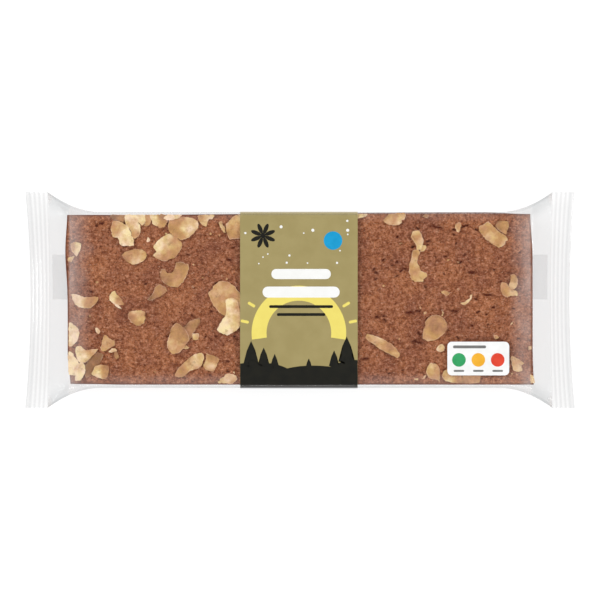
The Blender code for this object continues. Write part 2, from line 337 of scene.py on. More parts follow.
def speculaas_crumb():
    """Baked spice dough: matt brown with paler and rosier grains, and painted shade in pores and cracks."""
    material, output = new_material("baked_spice_dough")
    place = add_node(material, "ShaderNodeTexCoord", {}).outputs["Object"]
    drawn_out = add_node(material, "ShaderNodeMapping", {
        "Vector": place, "Scale": (ALONG, ACROSS, 1.0),
    }).outputs[0]
    grain = add_node(material, "ShaderNodeTexNoise", {
        "Vector": place, "Scale": 1 / 0.0019, "Detail": 5.0, "Roughness": 0.82,
    })
    brown = add_node(material, "ShaderNodeValToRGB", {"Fac": grain.outputs["Fac"]}, stops=(
        (0.35, "#6e3a22"), (0.66, "#cd997c"), (0.44, "#8f583b"), (0.50, "#a36a4c"), (0.56, "#b37a5b"),
    ))
    blotch = add_node(material, "ShaderNodeTexNoise", {
        "Vector": place, "Scale": 1 / 0.0100, "Detail": 3.0, "Roughness": 0.6,
    })
    cast = add_node(material, "ShaderNodeValToRGB", {"Fac": blotch.outputs["Fac"]}, stops=(
        (0.36, "#dccdcc"), (0.64, "#fff4e5"),
    ))
    warmer = add_node(material, "ShaderNodeMix", {
        0: 1.0, 6: brown.outputs["Color"], 7: cast.outputs["Color"],
    }, data_type="RGBA", blend_type="MULTIPLY")
    rose = add_node(material, "ShaderNodeTexNoise", {
        "Vector": drawn_out, "Scale": 1 / 0.0012, "Detail": 3.0, "Roughness": 0.6,
    })
    rose_amount = add_node(material, "ShaderNodeMapRange", {
        "Value": rose.outputs["Fac"], "From Min": 0.59, "From Max": 0.68, "To Min": 0.0, "To Max": 0.62,
    })
    rosier = add_node(material, "ShaderNodeMix", {
        0: rose_amount.outputs[0], 6: warmer.outputs[2], 7: linear("#cb9a7d"),
    }, data_type="RGBA")
    fine = add_node(material, "ShaderNodeTexNoise", {
        "Vector": place, "Scale": 1 / 0.0008, "Detail": 3.0, "Roughness": 0.6,
    })
    grit = add_node(material, "ShaderNodeMapRange", {
        "Value": fine.outputs["Fac"], "From Min": 0.35, "From Max": 0.65, "To Min": 0.73, "To Max": 1.22,
    })
    gritty = add_node(material, "ShaderNodeMix", {
        0: 1.0, 6: rosier.outputs[2], 7: grit.outputs[0],
    }, data_type="RGBA", blend_type="MULTIPLY")
    pinholes = add_node(material, "ShaderNodeTexNoise", {
        "Vector": drawn_out, "Scale": 1 / 0.0013, "Detail": 2.0, "Roughness": 0.6,
    })
    pinhole_amount = add_node(material, "ShaderNodeMapRange", {
        "Value": pinholes.outputs["Fac"], "From Min": 0.63, "From Max": 0.70, "To Min": 0.0, "To Max": 0.85,
    })
    pit_shade = add_node(material, "ShaderNodeAttribute", {}, attribute_name="pit_shade")
    hollow = add_node(material, "ShaderNodeMath", {
        0: pit_shade.outputs["Fac"], 1: pinhole_amount.outputs[0],
    }, operation="MAXIMUM")
    # Painted shade: the crumb darkens in pores, pinholes and cracks, where shade falls.
    darker = add_node(material, "ShaderNodeMix", {
        0: hollow.outputs[0], 6: gritty.outputs[2], 7: linear("#561c06"),
    }, data_type="RGBA")
    relief = add_node(material, "ShaderNodeBump", {
        "Height": fine.outputs["Fac"], "Strength": 0.9, "Distance": 0.0004,
    })
    shader = add_node(material, "ShaderNodeBsdfPrincipled", {
        "Base Color": darker.outputs[2], "Roughness": 0.8, "Specular IOR Level": 0.1,
        "Normal": relief.outputs[0],
    })
    material.node_tree.links.new(shader.outputs[0], output.inputs[0])
    return material


bar = make_bar()
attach(bar, "root")
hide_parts("sealed_bag")


# Almond flakes: thin slices of blanched almond, strewn on the raw dough and baked with it. Each
# curls a little and most are broken. They run from cream to toasted tan, and the tan across a slice
# is partly painted shade; a painted highlight runs along the edge.
# A slice is a capped ring drawn to its outline, given a rim by inset, bent and extruded.
PHOTO_STEP = 0.000455
PHOTO_MIDDLE = 300
FLAKE_THICKNESS = 0.00050
FLAKE_SEAT = BAR_TOP - 0.00005
FLAKE_CEILING = 0.01837
LAYER_RISE = 0.00045
MOST_BEND = 0.00040
LONE_BEND = 0.00085
OUTLINE_STEP = 0.00042
EDGE_ROUGHNESS = 0.00026
ROUNDING = 0.55
RIM_WIDTH = 0.00030
EDGE_SEED = 5
CUP = 0.08
ROLL = 0.11
TWIST = 0.07
RIPPLE = 0.035
TONE_WOBBLE = 0.16
CRUMB_COUNT = 34
CRUMB_CORNERS = 5
CRUMB_COLUMNS = (82, 520)
CRUMB_ROWS = (222, 376)
BAND_COLUMNS = (236, 362)

# Outlines are corners read off the photo, in its pixels of 0.455 mm from the top left, and a
# curve rounds them. Layer 1 or 2 lies on the slices below. Tone goes from 0, cream, to 1, toasted,
# and changes to far_tone on the side that way points to, in degrees from +X. That change across a
# slice is partly toast and partly painted shade.
Flake = namedtuple("Flake", "layer tone far_tone way outline")
FLAKES = [
    Flake(0, 0.95, 0.90, 0, ((110, 215), (125, 215), (124, 222), (120, 221), (113, 219))),
    Flake(0, 0.65, 0.60, 0, ((145, 215), (151, 215), (151, 221), (149, 226), (144, 226), (146, 221))),
    Flake(0, 0.00, 0.10, 0, (
        (132, 215), (145, 215), (146, 221), (142.5, 225.5), (138, 222), (135, 219))),
    Flake(1, 0.10, 0.40, -120, (
        (125.5, 215), (132, 215), (136, 219.5), (140.5, 226), (140.5, 233.5), (136, 238.5),
        (132.5, 238), (130.5, 229.5), (125.5, 224))),
    Flake(2, 0.45, 0.00, -40, (
        (113, 221), (119, 221), (129, 227.5), (131.5, 235.5), (134, 241), (133.5, 245.5), (127, 246),
        (121, 245), (118.5, 238.5), (113, 236.5), (111, 229))),
    Flake(1, 0.25, 0.70, 0, (
        (150, 215), (166, 215), (168, 222), (165, 226.5), (160, 228), (155, 225.5), (151, 220))),
    Flake(0, 0.20, 0.60, -40, (
        (153.5, 247), (157.5, 241), (163, 236.5), (170, 234), (177, 238), (182.5, 244), (180.5, 250),
        (176, 257), (170, 259.5), (164, 261), (157, 258.5), (153, 255.5), (156.5, 252), (155, 249.5))),
    Flake(1, 0.65, 0.25, 0, (
        (170, 220), (181, 217), (190, 217.5), (198, 221.5), (198, 228), (194, 233), (189, 237.5),
        (182, 240), (174, 236.5), (169, 231), (168.5, 225))),
    Flake(2, 0.05, 0.10, 0, ((163.5, 218), (168, 215), (182, 215), (180, 218), (170, 220.5))),
    Flake(0, 0.00, 0.00, 0, ((146.5, 239.5), (148.5, 236.5), (150.5, 241.5), (148, 242))),
    Flake(0, 0.65, 0.35, -30, (
        (122, 255), (127, 251.5), (135, 249), (143, 250), (147, 254), (145.5, 259), (139, 263.5),
        (133, 265), (126.5, 261))),
    Flake(0, 0.40, 0.30, 0, (
        (199, 215), (214, 215), (212.5, 219), (208.5, 220), (206.5, 226.5), (202, 225),
        (198.5, 219.5))),
    Flake(0, 0.35, 0.30, 0, (
        (219.5, 222.5), (222.5, 222), (225, 229), (225.5, 233), (222.5, 231.5), (219.5, 225.5))),
    Flake(0, 0.35, 0.65, -70, (
        (226, 225), (229, 221), (234, 216), (242, 215), (242, 238), (233, 239), (229.5, 239),
        (226.5, 232))),
    Flake(0, 0.50, 0.00, 0, (
        (71, 243.5), (76, 242), (81.5, 244), (80.5, 250), (77, 256.5), (73, 252.5), (71, 247.5))),
    Flake(0, 0.35, 0.25, 0, ((68.5, 258), (72, 256.5), (75, 256.5), (72, 262), (68.5, 262))),
    Flake(0, 0.80, 0.55, -50, (
        (161, 270), (164.5, 268.5), (167.5, 273), (172, 273), (174.5, 269), (177, 262), (184, 262.5),
        (189, 265), (188, 272), (184, 281), (177, 287), (168, 285.5), (162.5, 281), (160.5, 275))),
    Flake(0, 0.80, 0.75, 0, (
        (155, 287.5), (160, 284.5), (166, 288), (165, 293.5), (159, 297), (152, 300.5), (148, 299),
        (153, 293.5))),
    Flake(0, 0.50, 0.45, 0, (
        (209, 293), (213, 287.5), (218, 282.5), (225, 281), (233, 285), (240, 293), (242, 306),
        (236, 312), (226, 316), (220, 313), (213, 304.5), (210, 298))),
    Flake(1, 0.00, 0.35, 0, (
        (226, 299.5), (232, 297.5), (237, 300.5), (240.5, 310), (241.5, 321), (240, 327), (234, 332),
        (227.5, 335), (221, 333), (217, 329.5), (220.5, 322.5), (226, 314), (226, 306))),
    Flake(0, 0.45, 0.10, 180, (
        (72, 294.5), (76, 294), (84, 297), (98.5, 297), (96, 303.5), (91, 308), (83, 308),
        (76.5, 305.5), (73, 299.5))),
    Flake(0, 0.20, 0.55, -20, (
        (110, 294.5), (115, 290.5), (117, 294.5), (121, 298), (124, 304.5), (120, 305), (114.5, 304.5),
        (110, 300))),
    Flake(1, 0.05, 0.10, 0, ((115, 304.5), (118, 304.5), (122, 309), (118.5, 308), (115.5, 306))),
    Flake(0, 0.65, 0.40, 40, (
        (128.5, 313.5), (132, 311), (138.5, 310.5), (144, 311.5), (145.5, 317), (145, 322.5),
        (141, 326), (134, 323.5), (129, 319.5))),
    Flake(0, 0.85, 0.90, 0, (
        (183.5, 327.5), (190, 321.5), (199.5, 317.5), (200, 322), (196, 329), (190, 339), (186, 340),
        (183, 332))),
    Flake(1, 0.75, 0.55, -90, (
        (176, 323), (181, 325), (186, 330), (189.5, 339), (184, 347.5), (179.5, 352.5), (173, 354),
        (168, 349), (167.5, 342), (170, 334), (171.5, 328))),
    Flake(0, 0.25, 0.25, 0, ((183, 348), (186, 345.5), (189, 347.5), (186, 349))),
    Flake(0, 0.20, 0.30, 0, ((192, 334), (195, 333.5), (199, 333.5), (198, 340), (193.5, 339.5))),
    Flake(0, 0.10, 0.05, 0, (
        (69, 323), (73, 323.5), (78, 328), (79.5, 336), (76.5, 342.5), (69.5, 347), (69, 335))),
    Flake(0, 1.00, 0.95, 0, (
        (98.5, 352), (103.5, 354.5), (100, 363.5), (95, 367.5), (91, 376), (85.5, 376.5), (85.5, 366),
        (90, 357.5))),
    Flake(0, 0.00, 0.00, 0, (
        (68.5, 352), (71.5, 351.5), (77.5, 360), (80.5, 368), (80, 373.5), (74, 375.5), (69, 374),
        (68.5, 363))),
    Flake(1, 0.10, 0.40, 0, (
        (76, 347), (81, 345.5), (86, 350), (98.5, 349), (92.5, 356), (86, 362), (81, 362.5),
        (78, 360.5), (76, 353))),
    Flake(1, 0.00, 0.00, 0, (
        (79, 363.5), (82, 361.5), (85.5, 366), (85, 373), (81, 380), (76, 380.5), (75, 374.5),
        (76.5, 368))),
    Flake(1, 0.20, 0.55, 10, (
        (95.5, 366), (101.5, 364.5), (108.5, 366), (109, 373), (105.5, 379), (98, 377.5), (92, 374),
        (93.5, 370.5))),
    Flake(0, 0.40, 0.45, 0, (
        (105, 335), (109, 337.5), (115, 341.5), (113.5, 346), (106, 351), (101, 350), (102, 341.5))),
    Flake(0, 0.10, 0.10, 0, ((109, 351.5), (112, 348.5), (115.5, 348), (117, 350.5), (112, 352.5))),
    Flake(0, 0.65, 0.65, 0, ((114, 352.5), (117, 351), (119.5, 356), (117, 359), (114.5, 356))),
    Flake(0, 0.05, 0.05, 0, ((95.5, 328.5), (97.5, 328), (100.5, 331.5), (99, 334), (96, 331.5))),
    Flake(0, 0.55, 0.30, 10, (
        (175, 375.5), (177.5, 369.5), (183, 363.5), (189, 358.5), (194.5, 354.5), (201.5, 352.5),
        (204.5, 356.5), (202, 365), (197, 369), (190.5, 370.5), (184.5, 376), (179, 377.5))),
    Flake(0, 0.70, 0.45, -90, (
        (206.5, 353.5), (214, 356), (219, 358.5), (216.5, 366), (213.5, 371), (207, 370), (203.5, 366),
        (206, 360))),
    Flake(0, 0.30, 0.45, 0, (
        (225.5, 374.5), (229, 373.5), (235, 375.5), (238, 378.5), (233, 383), (218.5, 383),
        (219.5, 380))),
    Flake(0, 0.25, 0.30, 0, ((357, 214), (367, 214), (366.5, 216), (361, 218), (357, 218.5))),
    Flake(0, 0.65, 0.25, -20, (
        (389, 214), (404.5, 213.5), (404.5, 219), (401.5, 220.5), (402, 223), (396.5, 225.5),
        (390, 225), (385, 223), (383, 220.5), (386, 217.5))),
    Flake(0, 0.50, 0.40, -90, (
        (412.5, 250), (418, 250), (420.5, 253), (418, 256.5), (417, 261), (419, 267), (420.5, 271.5),
        (425, 273), (426.5, 277), (422.5, 281), (414, 281.5), (410.5, 277), (409, 271), (409.5, 262),
        (411.5, 256))),
    Flake(0, 0.45, 0.35, 0, (
        (423, 245), (426, 246), (426, 248.5), (423, 251.5), (420.5, 252), (420.5, 248.5))),
    Flake(1, 0.40, 0.25, -80, (
        (412.5, 231.5), (418.5, 230.5), (421.5, 235), (423, 240), (422.5, 245), (421, 249.5),
        (416.5, 249.5), (416, 245), (413, 241), (411, 237))),
    Flake(0, 0.35, 0.50, 0, (
        (456.5, 223), (459, 222), (461, 225.5), (459.5, 230), (457.5, 233), (455.5, 230), (455, 226))),
    Flake(0, 0.60, 0.35, -40, (
        (479, 227.5), (484, 224), (488, 222), (492.5, 225.5), (496, 229.5), (502, 233.5),
        (506.5, 236.5), (505.5, 241.5), (502, 246.5), (497, 247), (489.5, 242.5), (483, 236.5),
        (480, 232))),
    Flake(1, 0.80, 0.50, -20, (
        (495, 225), (497.5, 221.5), (502.5, 220.5), (508, 222.5), (508.5, 227), (507, 231),
        (506, 234.5), (502.5, 233), (497, 229))),
    Flake(0, 0.55, 0.35, 0, (
        (500, 286), (502, 282.5), (506, 282.5), (508.5, 286.5), (514, 290), (517.5, 293), (516, 296.5),
        (512, 295.5), (506.5, 297), (503, 294.5), (500.5, 290.5))),
    Flake(1, 0.60, 0.25, -70, (
        (510, 275), (514, 274.5), (517, 278.5), (517.5, 283.5), (514.5, 289), (511, 288.5),
        (508.5, 285.5), (510.5, 281))),
    Flake(0, 0.40, 0.50, 0, ((441, 291.5), (445, 290.5), (450, 293.5), (447.5, 295.5), (443, 294.5))),
    Flake(0, 0.25, 0.15, 0, (
        (460.5, 303), (464.5, 302), (467, 300), (469.5, 298), (470, 295), (472, 294.5), (471, 298.5),
        (468.5, 302.5), (464, 305))),
    Flake(0, 0.75, 0.60, -90, (
        (425.5, 321.5), (430, 316.5), (436, 314.5), (442, 317), (446.5, 323), (446.5, 329),
        (442, 335.5), (435, 340), (428.5, 341.5), (423, 338), (422.5, 333), (424.5, 327))),
    Flake(0, 0.40, 0.50, -30, (
        (365.5, 337), (367.5, 334), (374, 335.5), (382, 338.5), (391, 343.5), (397, 349.5),
        (399.5, 355), (397, 358), (389.5, 354), (381, 349.5), (373, 344), (367, 339.5))),
    Flake(0, 0.20, 0.20, 0, (
        (436, 349), (438.5, 345.5), (441, 344), (444.5, 346.5), (444, 350.5), (440.5, 352),
        (437, 351))),
    Flake(0, 0.30, 0.50, 0, (
        (430, 363), (435.5, 363.5), (439, 367.5), (440, 375), (439, 382), (437, 379.5), (429, 378),
        (426, 371.5), (427.5, 366.5))),
    Flake(0, 0.40, 0.30, 0, ((421.5, 378.5), (425.5, 374.5), (425, 377), (422, 379))),
    Flake(0, 0.35, 0.35, 0, ((414, 378.5), (418, 378), (418, 380), (414, 380))),
    Flake(0, 0.35, 0.75, 0, (
        (442, 375), (445, 370), (452, 368), (465, 370), (466, 382.5), (452, 382.5), (445.5, 381),
        (442.5, 378))),
    Flake(1, 0.75, 0.60, 0, ((463, 371), (479, 371), (480, 376), (478.5, 382.5), (464.5, 383))),
    Flake(0, 0.50, 0.40, -60, (
        (511, 356), (517, 358), (523.5, 363), (521.5, 365.5), (522, 371), (516.5, 372), (513, 369.5),
        (511, 362))),
    Flake(0, 0.25, 0.15, 0, (
        (530, 375), (532.5, 375), (534.5, 379), (534, 383), (530.5, 382.5), (530, 378))),
    Flake(0, 0.60, 0.45, 0, ((493, 335.5), (496.5, 335), (499, 337), (495.5, 339.5))),
    Flake(0, 0.75, 0.70, 0, ((422.5, 216.5), (425.5, 214), (428.5, 215.5), (427, 218))),
    Flake(0, 0.80, 0.80, 0, ((399, 243.5), (401.5, 242.5), (403.5, 243.5), (400.5, 244.5))),
    Flake(0, 0.30, 0.30, 0, ((528, 346.5), (531.5, 346), (531.5, 349), (528.5, 349.5))),
]


def rounded_outline(corners):
    """Points at even steps along a closed curve through the corners, in metres."""
    corners = [PHOTO_STEP * Vector((x - PHOTO_MIDDLE, PHOTO_MIDDLE - y, 0.0)) for x, y in corners]
    count = len(corners)
    points = []
    for i in range(count):
        before, start, end, after = (corners[(i + step) % count] for step in (-1, 0, 1, 2))
        pieces = max(2, round((end - start).length / OUTLINE_STEP))
        for piece in range(pieces):
            t = piece / pieces
            curve = 2 * start + (end - before) * t
            curve += (2 * before - 5 * start + 4 * end - after) * t * t
            curve += (3 * start - before - 3 * end + after) * t * t * t
            points.append(start.lerp(end, t).lerp(curve / 2, ROUNDING))
    return points


def slice_sheet(bm, points, rim_width, roughness):
    """A flat capped ring on the points, with a narrow rim and enough inner points to bend it."""
    rim = bm.verts.layers.float["rim"]
    ring = bmesh.ops.create_circle(bm, cap_ends=True, segments=len(points), radius=0.001)["verts"]
    for vert, point in zip(ring, points):
        vert.co = point
    bm.normal_update()
    edging = bmesh.ops.inset_region(bm, faces=bm.faces, thickness=rim_width, use_boundary=True)
    for vert in bm.verts:
        rough = noise.noise_vector(vert.co / 0.0014) + 0.8 * noise.noise_vector(vert.co / 0.0007)
        vert.co += Vector((rough.x, rough.y, 0.0)) * roughness
        # The outer ring is marked for the painted highlight along the edge.
        vert[rim] = 1.0 if vert.is_boundary else 0.0
    inner = [face for face in bm.faces if face not in set(edging["faces"])]
    bmesh.ops.triangulate(bm, faces=inner, ngon_method="BEAUTY")
    edging_edges = {edge for face in edging["faces"] for edge in face.edges}
    across = [edge for edge in bm.edges if edge not in edging_edges]
    bmesh.ops.subdivide_edges(bm, edges=across, cuts=3, use_grid_fill=True)
    bmesh.ops.triangulate(bm, faces=bm.faces)


def lies_alone(flake):
    """Whether no other slice reaches into the rectangle that this one covers."""
    spans = []
    for other in FLAKES:
        across, down = zip(*other.outline)
        spans.append((min(across), max(across), min(down), max(down)))
    across, down = zip(*flake.outline)
    low_x, high_x, low_y, high_y = min(across), max(across), min(down), max(down)
    met = [span for span in spans
           if span[0] < high_x and span[1] > low_x and span[2] < high_y and span[3] > low_y]
    return len(met) <= 1


def bend_slice(bm, layer, most_bend, middle, size, chance):
    """Cup, roll and twist the slice, in the room between what it lies on and the film."""
    cup, roll, twist = chance.uniform(-1, 1), chance.uniform(-1, 1), chance.uniform(-0.6, 0.6)
    for vert in bm.verts:
        u, v = (2 * (vert.co - middle) / size).xy
        ripple = noise.noise(vert.co / 0.0034)
        bent = CUP * cup * u * u + ROLL * roll * v * v + TWIST * twist * u * v
        vert.co.z = size * (bent + RIPPLE * ripple)
    low = min(vert.co.z for vert in bm.verts)
    high = max(vert.co.z for vert in bm.verts)
    room = min(most_bend, FLAKE_CEILING - FLAKE_SEAT - FLAKE_THICKNESS - layer * LAYER_RISE)
    squeeze = min(1.0, room / max(high - low, 1e-6))
    for vert in bm.verts:
        vert.co.z = FLAKE_SEAT + layer * LAYER_RISE + (vert.co.z - low) * squeeze


def make_flake(flake, chance):
    bm = bmesh.new()
    bm.verts.layers.float.new("rim")
    bm.verts.layers.float.new("tone")
    points = rounded_outline(flake.outline)
    middle = sum(points, Vector()) / len(points)
    size = 2 * max((point - middle).length for point in points)
    slice_sheet(bm, points, min(RIM_WIDTH, 0.14 * size), EDGE_ROUGHNESS * chance.uniform(0.6, 1.9))
    most_bend = LONE_BEND if lies_alone(flake) else MOST_BEND
    bend_slice(bm, flake.layer, most_bend, middle, size, chance)
    grown = bmesh.ops.extrude_face_region(bm, geom=bm.faces, use_keep_orig=True)["geom"]
    for vert in (item for item in grown if isinstance(item, bmesh.types.BMVert)):
        vert.co.z += FLAKE_THICKNESS
    bmesh.ops.recalc_face_normals(bm, faces=bm.faces)
    # The tone shifts across the slice, partly with toast and partly as painted shade.
    tone = bm.verts.layers.float["tone"]
    way = Vector((math.cos(math.radians(flake.way)), math.sin(math.radians(flake.way)), 0.0))
    for vert in bm.verts:
        wobble = TONE_WOBBLE * noise.noise(vert.co / 0.0028)
        share = smooth_step((vert.co - middle).dot(way) / size + wobble, -TONE_WOBBLE, TONE_WOBBLE)
        vert[tone] = flake.tone + (flake.far_tone - flake.tone) * share
    return bm


def strew_crumbs():
    """Almond crumbs that fell off the slices, clear of the bar's rim and of the printed band."""
    chance = random.Random(23)
    crumbs = []
    while len(crumbs) < CRUMB_COUNT:
        x, y = chance.uniform(*CRUMB_COLUMNS), chance.uniform(*CRUMB_ROWS)
        if BAND_COLUMNS[0] < x < BAND_COLUMNS[1]:
            continue
        corners = []
        for corner in range(CRUMB_CORNERS):
            turn, reach = 2 * math.pi * corner / CRUMB_CORNERS, chance.uniform(0.6, 1.5)
            corners.append((x + reach * math.cos(turn), y + reach * math.sin(turn)))
        tone = chance.uniform(0.2, 0.9)
        crumbs.append(Flake(0, tone, tone, 0, corners))
    return crumbs


def make_flakes():
    chance = random.Random(7)
    noise.seed_set(EDGE_SEED)
    joined = bmesh.new()
    carrier = bpy.data.meshes.new("one_flake")
    for flake in FLAKES + strew_crumbs():
        one = make_flake(flake, chance)
        one.to_mesh(carrier)
        one.free()
        joined.from_mesh(carrier)
        carrier.clear_geometry()
    bpy.data.meshes.remove(carrier)
    bmesh.ops.recalc_face_normals(joined, faces=joined.faces)
    return finish_piece("almond_flakes", joined, toasted_almond(), 50)


def toasted_almond():
    """Blanched almond: satin cream, tanner where the oven caught it and where shade is painted, with a
    painted pale rosy highlight along the edge.
    """
    material, output = new_material("toasted_almond")
    place = add_node(material, "ShaderNodeTexCoord", {}).outputs["Object"]
    tone = add_node(material, "ShaderNodeAttribute", {}, attribute_name="tone")
    rim = add_node(material, "ShaderNodeAttribute", {}, attribute_name="rim")
    cloud = add_node(material, "ShaderNodeTexNoise", {
        "Vector": place, "Scale": 1 / 0.0055, "Detail": 4.0, "Roughness": 0.6,
    })
    cloud_shift = add_node(material, "ShaderNodeMapRange", {
        "Value": cloud.outputs["Fac"], "From Min": 0.30, "From Max": 0.70, "To Min": -0.28, "To Max": 0.28,
    })
    # The slice's tone, partly toast and partly painted shade, with a random drift.
    toast_and_shade = add_node(material, "ShaderNodeMath", {
        0: tone.outputs["Fac"], 1: cloud_shift.outputs[0],
    }, operation="ADD", use_clamp=True)
    almond = add_node(material, "ShaderNodeValToRGB", {"Fac": toast_and_shade.outputs[0]}, stops=(
        (0.0, "#f9e6c8"), (1.0, "#926a4b"), (0.25, "#dfc096"), (0.5, "#c99c6f"), (0.75, "#b38660"),
    ))
    cast = add_node(material, "ShaderNodeTexNoise", {
        "Vector": place, "Scale": 1 / 0.0042, "Detail": 1.0, "Roughness": 0.5,
    })
    cast_colour = add_node(material, "ShaderNodeValToRGB", {"Fac": cast.outputs["Fac"]}, stops=(
        (0.35, "#fff3f0"), (0.65, "#fffbdc"),
    ))
    tinted = add_node(material, "ShaderNodeMix", {
        0: 1.0, 6: almond.outputs["Color"], 7: cast_colour.outputs["Color"],
    }, data_type="RGBA", blend_type="MULTIPLY")
    fade = add_node(material, "ShaderNodeTexNoise", {
        "Vector": place, "Scale": 1 / 0.0038, "Detail": 1.0, "Roughness": 0.5,
    })
    rosy = add_node(material, "ShaderNodeMapRange", {
        "Value": fade.outputs["Fac"], "From Min": 0.40, "From Max": 0.66, "To Min": 0.0, "To Max": 0.75,
    })
    # Painted highlight: a pale rosy rim along the slice's edge, stronger on some slices than on others.
    edge_highlight_amount = add_node(material, "ShaderNodeMath", {
        0: rim.outputs["Fac"], 1: rosy.outputs[0],
    }, operation="MULTIPLY")
    edged = add_node(material, "ShaderNodeMix", {
        0: edge_highlight_amount.outputs[0], 6: tinted.outputs[2], 7: linear("#f0c9ae"),
    }, data_type="RGBA")
    freckle = add_node(material, "ShaderNodeTexNoise", {
        "Vector": place, "Scale": 1 / 0.0030, "Detail": 3.0, "Roughness": 0.6,
    })
    freckle_amount = add_node(material, "ShaderNodeMapRange", {
        "Value": freckle.outputs["Fac"], "From Min": 0.58, "From Max": 0.70, "To Min": 0.0, "To Max": 0.55,
    })
    freckled = add_node(material, "ShaderNodeMix", {
        0: freckle_amount.outputs[0], 6: edged.outputs[2], 7: linear("#94693c"),
    }, data_type="RGBA")
    grain = add_node(material, "ShaderNodeTexNoise", {
        "Vector": place, "Scale": 1 / 0.0026, "Detail": 3.0, "Roughness": 0.5,
    })
    relief = add_node(material, "ShaderNodeBump", {
        "Height": grain.outputs["Fac"], "Strength": 1.0, "Distance": 0.0010,
    })
    shader = add_node(material, "ShaderNodeBsdfPrincipled", {
        "Base Color": freckled.outputs[2], "Roughness": 0.5, "Specular IOR Level": 0.35,
        "Normal": relief.outputs[0],
    })
    material.node_tree.links.new(shader.outputs[0], output.inputs[0])
    return material


flakes = make_flakes()
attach(flakes, "root")
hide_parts("sealed_bag")


# Clear film: one tube of thin polypropylene drawn tight round the bar, pressed shut at both ends
# between ribbed jaws. The flat seals are half the tube's girth wide, so the film flares out to
# them in two ears. One ring of points is extruded along the pack and shaped at each station.
SEAL_DEPTH = 0.0102
SEAL_LEVEL = 0.0070
SEAL_GAP = 0.00035
RIB_PITCH = 0.0021
RIB_RISE = 0.00007
OUTER_BOW = 0.0025
INNER_BOW = 0.0011
CURL_RISE = 0.0040
CORNER_DROP = 0.0015
SLOPE_START = 0.0195
FLARE_START = 0.0340
TUBE_HALF_WIDTH = 0.0401
PANEL_HALF_WIDTH = 0.0384
FILM_TOP = 0.01842
FILM_BOTTOM = 0.00025
LOWEST_FOLD = 0.00015
PANEL_STEPS = 64
SIDE_STEPS = 16
SEAL_STATIONS = 60
CLOSING_STATIONS = 48
TUBE_STATIONS = 120
FACE_ON_GLOSS = 0.025

# How milky the film is at each place, from 0 for clear to 1 for white: the film's own haze on the
# seals, a painted highlight in the folds and a painted sheen over the bar's ends and edges.
SEAL_MILK = 0.03
FOLD_HIGHLIGHT = 0.25
END_SHEEN = 0.25
EDGE_SHEEN = 0.05
FRONT_SHEEN = 0.09

# How grey it is, as a share of the darkest tint, and what each place adds to that. The ribs' share is
# painted shade in the grooves and painted light on the ridges.
SEAL_GREY = 0.25
RIB_SHADE = 0.12
BORDER_GREY = 0.08
TUBE_GREY = 0.165
CLEAR_END_GREY = 0.085
FLARED_GREY = 0.30
WALL_GREY = 0.40


def part_way(value, start, end):
    """How far value has come from start towards end, held between 0 and 1."""
    return min(max((value - start) / (end - start), 0.0), 1.0)


def film_section(inward):
    """Panel half width, side half width, top and bottom of the film, so far in from its end."""
    closing = part_way(inward, SLOPE_START, SEAL_DEPTH)
    closing = closing ** 1.15 * (1 - 0.12 * math.sin(math.pi * closing))
    flare = part_way(inward, FLARE_START, SEAL_DEPTH) ** 1.9
    seal_half = pack_high.y
    shut = SEAL_GAP / 2 * smooth_step(inward, 0.0, 0.0008)
    side = TUBE_HALF_WIDTH + (seal_half - TUBE_HALF_WIDTH) * flare
    panel = PANEL_HALF_WIDTH + (seal_half - 0.0006 - PANEL_HALF_WIDTH) * closing
    top = FILM_TOP + (SEAL_LEVEL + shut - FILM_TOP) * closing
    bottom = FILM_BOTTOM + (SEAL_LEVEL - shut - FILM_BOTTOM) * closing
    return panel, min(side, seal_half), top, bottom


def ring_points(inward):
    """Points once round the film as (y, z): upper panel, right side, lower panel, left side."""
    panel, side, top, bottom = film_section(inward)
    middle = top + (bottom - top) * 0.55
    across = [panel * (2 * i / PANEL_STEPS - 1) for i in range(PANEL_STEPS + 1)]
    right = []
    for i in range(1, SIDE_STEPS):
        angle = math.pi * i / SIDE_STEPS
        reach = (top - middle) if angle < math.pi / 2 else (middle - bottom)
        bulge = (side - panel) * math.sin(angle) ** 0.7
        right.append((panel + bulge, middle + reach * math.cos(angle)))
    left = [(-y, z) for y, z in reversed(right)]
    return [(y, top) for y in across] + right + [(y, bottom) for y in reversed(across)] + left


def seal_shift(inward, y):
    """How far a seal bows in and curls up at y, fading out towards the bar."""
    middle = 1 - (y / pack_high.y) ** 2
    if inward >= SEAL_DEPTH:
        return INNER_BOW * middle * part_way(inward, SLOPE_START, SEAL_DEPTH), 0.0
    outward = 1 - inward / SEAL_DEPTH
    bow = INNER_BOW + (OUTER_BOW - INNER_BOW) * outward
    return bow * middle, outward * (CURL_RISE * middle - CORNER_DROP)


def rib_at(inward):
    """Where on a rib of the seal this is: 1 on its ridge, -1 in its groove, 0 off the seal."""
    edge = smooth_step(inward, SEAL_DEPTH + 0.0002, SEAL_DEPTH - 0.0006)
    return math.cos(2 * math.pi * (inward - 0.0010) / RIB_PITCH) * edge


def film_lift(end, inward, y, upper):
    """Ribs of the seal, faint pleats that fan out of it, and slack in the drawn film."""
    if inward <= SEAL_DEPTH:
        return RIB_RISE * rib_at(inward)
    fan = smooth_step(inward, SEAL_DEPTH, SEAL_DEPTH + 0.003) * smooth_step(inward, 0.026, 0.014)
    pleat = noise.noise(Vector((y / 0.0050, inward / 0.014, 5.0 * end + upper)))
    slack = noise.noise(Vector((inward / 0.016, y / 0.010, 3.0 + end)))
    calm = smooth_step(inward, SEAL_DEPTH, SEAL_DEPTH + 0.006)
    return 0.00016 * fan * pleat + (0.00005 * slack * calm if upper else 0.0)


